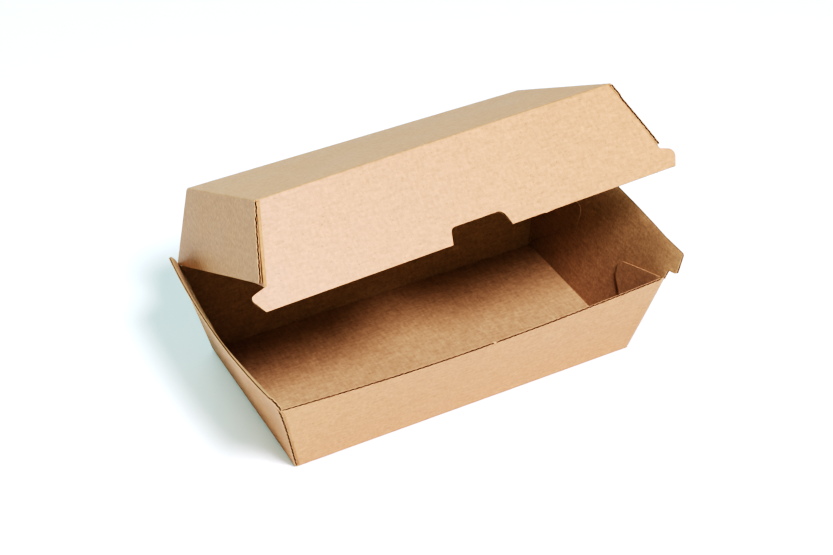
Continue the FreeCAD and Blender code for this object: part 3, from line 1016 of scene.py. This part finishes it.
@dataclass
class HingeFold:
    """The crushed fold between tray and lid, which bends as the lid opens."""

    tray: Tray
    lid: Lid
    groove: float = 0.35
    ridge: float = 0.12
    past_corner: float = 0.6
    columns: int = 60
    rows: int = 13
    pattern_width: float = 3.0

    def ends(self) -> tuple[Array, Array, Array]:
        """Outer points of the fold's cross-section: on the tray, on the hinge line and on the lid."""
        margin = self.tray.hinge_margin
        low = self.tray.hinge_height - margin
        start = np.array([0, float(self.tray.back_y(low)), low])
        middle = np.array([0, float(self.tray.back_y(self.tray.hinge_height)), self.tray.hinge_height])
        end = self.lid.place(np.array([[0, float(self.lid.back_y(margin)), margin]]))[0]
        return start, middle, end

    def build(self) -> BoardPiece:
        """The strip across the fold.

        Its outer face is the quadratic curve through tray, hinge line and lid, pressed in by a squared sine;
        its inner face lies a board's thickness in, pressed out by another.
        """
        piece = BoardPiece("hinge_fold")
        start, middle, end = self.ends()
        half = self.lid.wall_corner(self.tray.hinge_margin) + BOARD.corner_radius + self.past_corner
        x = np.linspace(-half, half, self.columns)[:, None, None]
        share = np.linspace(0, 1, self.rows)[None, :, None]
        curve = (1 - share) ** 2 * start + 2 * share * (1 - share) * middle + share ** 2 * end
        slope = np.gradient(curve[0], axis=0)
        inward = np.stack([np.zeros(len(slope)), -slope[:, 2], slope[:, 1]], axis=1)
        inward = inward / np.linalg.norm(inward, axis=1, keepdims=True)
        press = np.sin(np.pi * share) ** 2
        along = np.array([1.0, 0, 0])
        outer = curve + inward * self.groove * press + x * along
        inner = curve + inward * (BOARD.thickness - self.ridge * press) + x * along
        place = np.stack(np.broadcast_arrays(x[..., 0], share[..., 0] * self.pattern_width), axis=2)
        piece.block(outer, inner, place, True, (Skin.OUTSIDE, Skin.INSIDE, Skin.CUT))
        return piece


@dataclass(frozen=True)
class KraftFinish:
    """One paper of the board.

    Attributes:
        name: Name of the material.
        colour: Linear colour of the paper; for the core, painted shade of its flute channels.
        roughness: Roughness of the paper.
        grain: Share by which the fine grain changes the colour.
        fleck: Strength of the dark fibres scattered in it.
        washboard: Strength of the flutes that show through.
        streak: Strength of faint lines across the flutes.
        mottle: Share by which cloudy patches change the colour.
        relief: Depth of the grain.
    """

    name: str
    colour: Triple
    roughness: float
    grain: float
    fleck: float = 0.35
    washboard: float = 0.0
    streak: float = 0.0
    mottle: float = 0.07
    relief: float = 0.05


FINISHES = (
    KraftFinish("kraft_outside", (0.423, 0.214, 0.106), 0.56, 0.34, fleck=0.25, washboard=0.008, streak=0.03),
    KraftFinish("kraft_inside", (0.405, 0.267, 0.153), 0.75, 0.38, fleck=0.3, washboard=0.01, streak=0.03),
    KraftFinish("kraft_cut_edge", (0.46, 0.29, 0.165), 0.95, 0.3),
    # The core's near-black colour is painted shade: it stands for the shade inside the flute channels, not
    # the core paper's own colour.
    KraftFinish("kraft_core", (0.055, 0.026, 0.013), 0.95, 0.25),
)


class KraftPaper:
    """Builds the shared paper pattern once and the materials that use it."""

    NUMBERS = ("Mottle", "Grain", "Fleck", "Washboard", "Streak", "Roughness")
    SOCKETS = (
        ("INPUT", "Vector", ("Place", "Board")), ("INPUT", "Color", ("Paper",)), ("INPUT", "Float", NUMBERS),
        ("OUTPUT", "Color", ("Colour",)), ("OUTPUT", "Float", ("Rough", "Height")),
    )
    EVEN = (1, 1, 1)
    FLECK_FROM, FLECK_TO = 0.16, 0.26
    GREEN_POWER, BLUE_POWER = 1.15, 1.35
    SPECULAR, IOR = 0.85, 1.45

    def __init__(self) -> None:
        """Builds the node group."""
        self.group = bpy.data.node_groups.new("kraft_paper", "ShaderNodeTree")
        self.build_group()

    def node(self, kind: str, **values: object) -> bpy.types.Node:
        """Adds a node to the group and sets its properties."""
        node = self.group.nodes.new(kind)
        for name, value in values.items():
            setattr(node, name, value)
        return node

    def maths(self, operation: str, first: object, second: object = None) -> Socket:
        """Adds one sum, product or other step and returns its result."""
        node = self.node("ShaderNodeMath", operation=operation)
        for index, value in enumerate((first, second)):
            if isinstance(value, Socket):
                self.group.links.new(value, node.inputs[index])
            elif value is not None:
                node.inputs[index].default_value = value
        return node.outputs[0]

    def more(self, total: object, value: Socket, strength: object) -> Socket:
        """Adds a value times its strength to a total."""
        return self.maths("ADD", total, self.maths("MULTIPLY", value, strength))

    def noise(self, vector: Socket, scale: float, detail: float, stretch: Triple,
              turn: float = 0.0) -> Socket:
        """Adds a noise centred on zero.

        Args:
            vector: Place that the noise reads.
            scale: Patches per metre.
            detail: Finer layers.
            stretch: Factors on the three directions.
            turn: Turn about Z in radians, with a smaller share about X and Y.

        Returns:
            The noise less one half.
        """
        mapping = self.node("ShaderNodeMapping")
        mapping.inputs["Scale"].default_value = stretch
        mapping.inputs["Rotation"].default_value = (0.3 * turn, 0.2 * turn, turn)
        noise = self.node("ShaderNodeTexNoise")
        noise.inputs["Scale"].default_value = scale
        noise.inputs["Detail"].default_value = detail
        self.group.links.new(vector, mapping.inputs["Vector"])
        self.group.links.new(mapping.outputs[0], noise.inputs["Vector"])
        return self.maths("SUBTRACT", noise.outputs["Fac"], 0.5)

    def flutes(self, board: Socket, patches: Socket) -> Socket:
        """Adds the flutes that show through: a sine across them, stronger and weaker with the patches."""
        split = self.node("ShaderNodeSeparateXYZ")
        self.group.links.new(board, split.inputs[0])
        phase = self.maths("MULTIPLY", split.outputs[0], 2 * math.pi / (BOARD.pitch * MM))
        uneven = self.maths("ADD", self.maths("MULTIPLY", patches, 2.0), 0.6)
        return self.maths("MULTIPLY", self.maths("SINE", phase), uneven)

    def build_group(self) -> None:
        """Lays out the pattern: patches, grain, crossing fibres, flecks, flute lines and faint streaks."""
        for way, kind, names in self.SOCKETS:
            for name in names:
                self.group.interface.new_socket(name, in_out=way, socket_type=f"NodeSocket{kind}")
        source = self.node("NodeGroupInput").outputs
        result = self.node("NodeGroupOutput").inputs
        link = self.group.links.new

        place = source["Place"]
        patches = self.noise(place, 45.0, 3.0, self.EVEN)
        grain = self.noise(place, 620.0, 4.0, self.EVEN)
        fibres = self.noise(place, 900.0, 2.0, (0.22, 1, 1), 0.5)
        crossing = self.noise(place, 900.0, 2.0, (1, 0.22, 1), -0.6)
        specks = self.noise(place, 1500.0, 1.0, (0.5, 1, 1), 0.9)
        streaks = self.noise(source["Board"], 420.0, 2.0, (0.04, 1, 1))
        flutes = self.flutes(source["Board"], patches)
        weave = self.maths("ADD", grain, self.maths("ADD", fibres, crossing))

        tone = self.more(1.0, patches, source["Mottle"])
        tone = self.more(tone, weave, source["Grain"])
        tone = self.more(tone, flutes, source["Washboard"])
        tone = self.more(tone, streaks, source["Streak"])
        ramp = self.node("ShaderNodeMapRange", clamp=True)
        ramp.inputs["From Min"].default_value = self.FLECK_FROM
        ramp.inputs["From Max"].default_value = self.FLECK_TO
        link(specks, ramp.inputs["Value"])
        dark = self.maths("SUBTRACT", 1.0, self.maths("MULTIPLY", ramp.outputs[0], source["Fleck"]))
        tone = self.maths("MULTIPLY", tone, dark)
        combine = self.node("ShaderNodeCombineXYZ")
        link(tone, combine.inputs[0])
        link(self.maths("POWER", tone, self.GREEN_POWER), combine.inputs[1])
        link(self.maths("POWER", tone, self.BLUE_POWER), combine.inputs[2])
        colour = self.node("ShaderNodeVectorMath", operation="MULTIPLY")
        link(source["Paper"], colour.inputs[0])
        link(combine.outputs[0], colour.inputs[1])
        link(colour.outputs[0], result["Colour"])
        link(self.more(source["Roughness"], patches, 0.12), result["Rough"])
        link(self.more(weave, flutes, 0.2), result["Height"])

    def material(self, finish: KraftFinish) -> bpy.types.Material:
        """Makes the material of one paper.

        Args:
            finish: What the paper looks like.

        Returns:
            The material, which reads object coordinates and the board's own UV map.
        """
        material = bpy.data.materials.new(finish.name)
        material.use_nodes = True
        tree = material.node_tree
        shader = tree.nodes["Principled BSDF"]
        shader.inputs["IOR"].default_value = self.IOR
        shader.inputs["Specular IOR Level"].default_value = self.SPECULAR
        paper = tree.nodes.new("ShaderNodeGroup")
        paper.node_tree = self.group
        paper.inputs["Paper"].default_value = (*finish.colour, 1)
        for name in self.NUMBERS:
            paper.inputs[name].default_value = getattr(finish, name.lower())
        place = tree.nodes.new("ShaderNodeTexCoord")
        board = tree.nodes.new("ShaderNodeUVMap")
        board.uv_map = "board"
        bump = tree.nodes.new("ShaderNodeBump")
        bump.inputs["Distance"].default_value = finish.relief * MM
        for output, target in ((place.outputs["Object"], paper.inputs["Place"]),
                               (board.outputs["UV"], paper.inputs["Board"]),
                               (paper.outputs["Colour"], shader.inputs["Base Color"]),
                               (paper.outputs["Rough"], shader.inputs["Roughness"]),
                               (paper.outputs["Height"], bump.inputs["Height"]),
                               (bump.outputs["Normal"], shader.inputs["Normal"])):
            tree.links.new(output, target)
        return material


@dataclass(frozen=True)
class SoftLight:
    """Studio light that faces the box.

    Attributes:
        name: Name of the light.
        toward: Direction from the box to the light.
        distance: Metres from the box to the light.
        size: Side or diameter in metres.
        power: Watts.
        colour: Linear colour.
        round: Whether it is a disk; otherwise it is a square.
    """

    name: str
    toward: Triple
    distance: float
    size: float
    power: float
    colour: Triple
    round: bool = False

    def build(self, target: Vector) -> None:
        """Adds the light, facing the target."""
        data = bpy.data.lights.new(self.name, "AREA")
        data.shape = "DISK" if self.round else "SQUARE"
        data.size = self.size
        data.energy = self.power
        data.color = self.colour
        light = bpy.data.objects.new(self.name, data)
        way = Vector(self.toward).normalized()
        light.location = target + way * self.distance
        light.rotation_euler = (-way).to_track_quat("-Z", "Y").to_euler()
        bpy.context.collection.objects.link(light)


@dataclass(frozen=True)
class FilmResponse:
    """Contrast of the photograph's camera, which turns light into the picture's levels.

    Attributes:
        white_level: Light that gives white.
        middle: Light at which the steep part has risen by half, as a share of the white level.
        contrast: Power of the steep part.
        steep_share: Share of the steep part; the rest is the slow part.
        slow_power: Power of the slow part.
        steps: Steps of the curve, closer together in the darks.
    """

    white_level: float = 1.15
    middle: float = 0.2645
    contrast: float = 2.74
    steep_share: float = 0.604
    slow_power: float = 1.42
    steps: int = 16

    def level(self, light: float) -> float:
        """Picture's level for a light from zero to one.

        The steep part is light to the contrast, over that plus the middle to the contrast, scaled so that
        white stays white. The slow part is light to the slow power.
        """
        knee = self.middle ** self.contrast
        risen = light ** self.contrast
        steep = risen * (1 + knee) / (risen + knee)
        return self.steep_share * steep + (1 - self.steep_share) * light ** self.slow_power

    def apply(self, settings: bpy.types.ColorManagedViewSettings) -> None:
        """Sets the view's curve to this response."""
        settings.view_transform = "Standard"
        settings.use_curve_mapping = True
        mapping = settings.curve_mapping
        mapping.white_level = (self.white_level,) * 3
        points = mapping.curves[3].points
        for step in range(1, self.steps):
            light = (step / self.steps) ** 2
            points.new(light, self.level(light))
        for point in points:
            point.handle_type = "AUTO_CLAMPED"
        mapping.update()


@dataclass
class Studio:
    """Pale floor, soft lights and the camera. Lengths in metres, angles in degrees."""

    camera_place: Triple = (-0.3415134, -0.5884492, 0.5919647)
    azimuth: float = -29.8933
    elevation: float = 38.8951
    roll: float = 1.7105
    lens: float = 82.3017
    sensor: float = 36.0
    nearest: float = 0.01
    floor_reach: float = 6.0
    floor_drop: float = 0.0002
    floor_colour: Triple = (0.95, 0.95, 0.95)
    target: Triple = (0.0, 0.0, 0.05)
    lights: tuple[SoftLight, ...] = (
        SoftLight("key_light", (0.0, -0.665, 1.0), 1.4, 0.40, 26.28, (0.912, 0.87, 1.0), True),
        SoftLight("rear_light", (-0.28, 0.78, 1.0), 1.6, 1.2, 15.74, (0.497, 0.938, 1.0)),
        SoftLight("front_light", (-0.35, -1.0, 0.45), 1.6, 1.2, 4.87, (0.84, 1.0, 0.657)),
    )
    sky: Triple = (1.0, 0.945, 0.957)
    sky_strength: float = 0.252
    film: FilmResponse = FilmResponse()

    def camera(self) -> None:
        """Camera at the photograph's place, turned by azimuth, elevation and roll."""
        azimuth, elevation, roll = (math.radians(a) for a in (self.azimuth, self.elevation, self.roll))
        ahead = Vector((-math.sin(azimuth) * math.cos(elevation), math.cos(azimuth) * math.cos(elevation),
                        -math.sin(elevation)))
        level = ahead.cross(Vector((0, 0, 1))).normalized()
        upright_way = level.cross(ahead)
        right = level * math.cos(roll) + upright_way * math.sin(roll)
        up = upright_way * math.cos(roll) - level * math.sin(roll)
        data = bpy.data.cameras.new("camera")
        data.sensor_fit = "HORIZONTAL"
        data.sensor_width = self.sensor
        data.lens = self.lens
        data.clip_start = self.nearest
        camera = bpy.data.objects.new("camera", data)
        turn = Matrix((right, up, -ahead)).transposed().to_4x4()
        camera.matrix_world = Matrix.Translation(Vector(self.camera_place)) @ turn
        bpy.context.collection.objects.link(camera)
        bpy.context.scene.camera = camera

    def floor(self) -> None:
        """Wide pale floor under the box."""
        reach = self.floor_reach
        mesh = bpy.data.meshes.new("floor")
        mesh.from_pydata([(-reach, -reach, 0), (reach, -reach, 0), (reach, reach, 0), (-reach, reach, 0)], [],
                         [(0, 1, 2, 3)])
        material = bpy.data.materials.new("pale_floor")
        material.use_nodes = True
        shader = material.node_tree.nodes["Principled BSDF"]
        shader.inputs["Base Color"].default_value = (*self.floor_colour, 1)
        shader.inputs["Roughness"].default_value = 0.9
        shader.inputs["Specular IOR Level"].default_value = 0.0
        mesh.materials.append(material)
        floor = bpy.data.objects.new("floor", mesh)
        floor.location.z = -self.floor_drop
        bpy.context.collection.objects.link(floor)

    def build(self) -> None:
        """Sets up the camera, floor, lights, camera response and sky."""
        self.camera()
        self.floor()
        for light in self.lights:
            light.build(Vector(self.target))
        scene = bpy.context.scene
        self.film.apply(scene.view_settings)
        world = bpy.data.worlds.new("studio")
        scene.world = world
        world.use_nodes = True
        background = world.node_tree.nodes["Background"]
        background.inputs["Color"].default_value = (*self.sky, 1)
        background.inputs["Strength"].default_value = self.sky_strength


def main() -> None:
    """Builds the box piece by piece, then the studio."""
    paper = KraftPaper()
    finishes = [paper.material(finish) for finish in FINISHES]
    tray = Tray()
    lid = Lid(tray)
    for half in (tray, lid):
        for piece in half.pieces():
            made = piece.make(finishes)
            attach(made, half.body)
            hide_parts(half.body)
    hinge = HingeFold(tray, lid)
    strip = hinge.build().make(finishes)
    start, _, end = hinge.ends()
    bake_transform(strip)
    Studio().build()


if __name__ == "__main__":
    logging.basicConfig(level=logging.INFO)
    main()
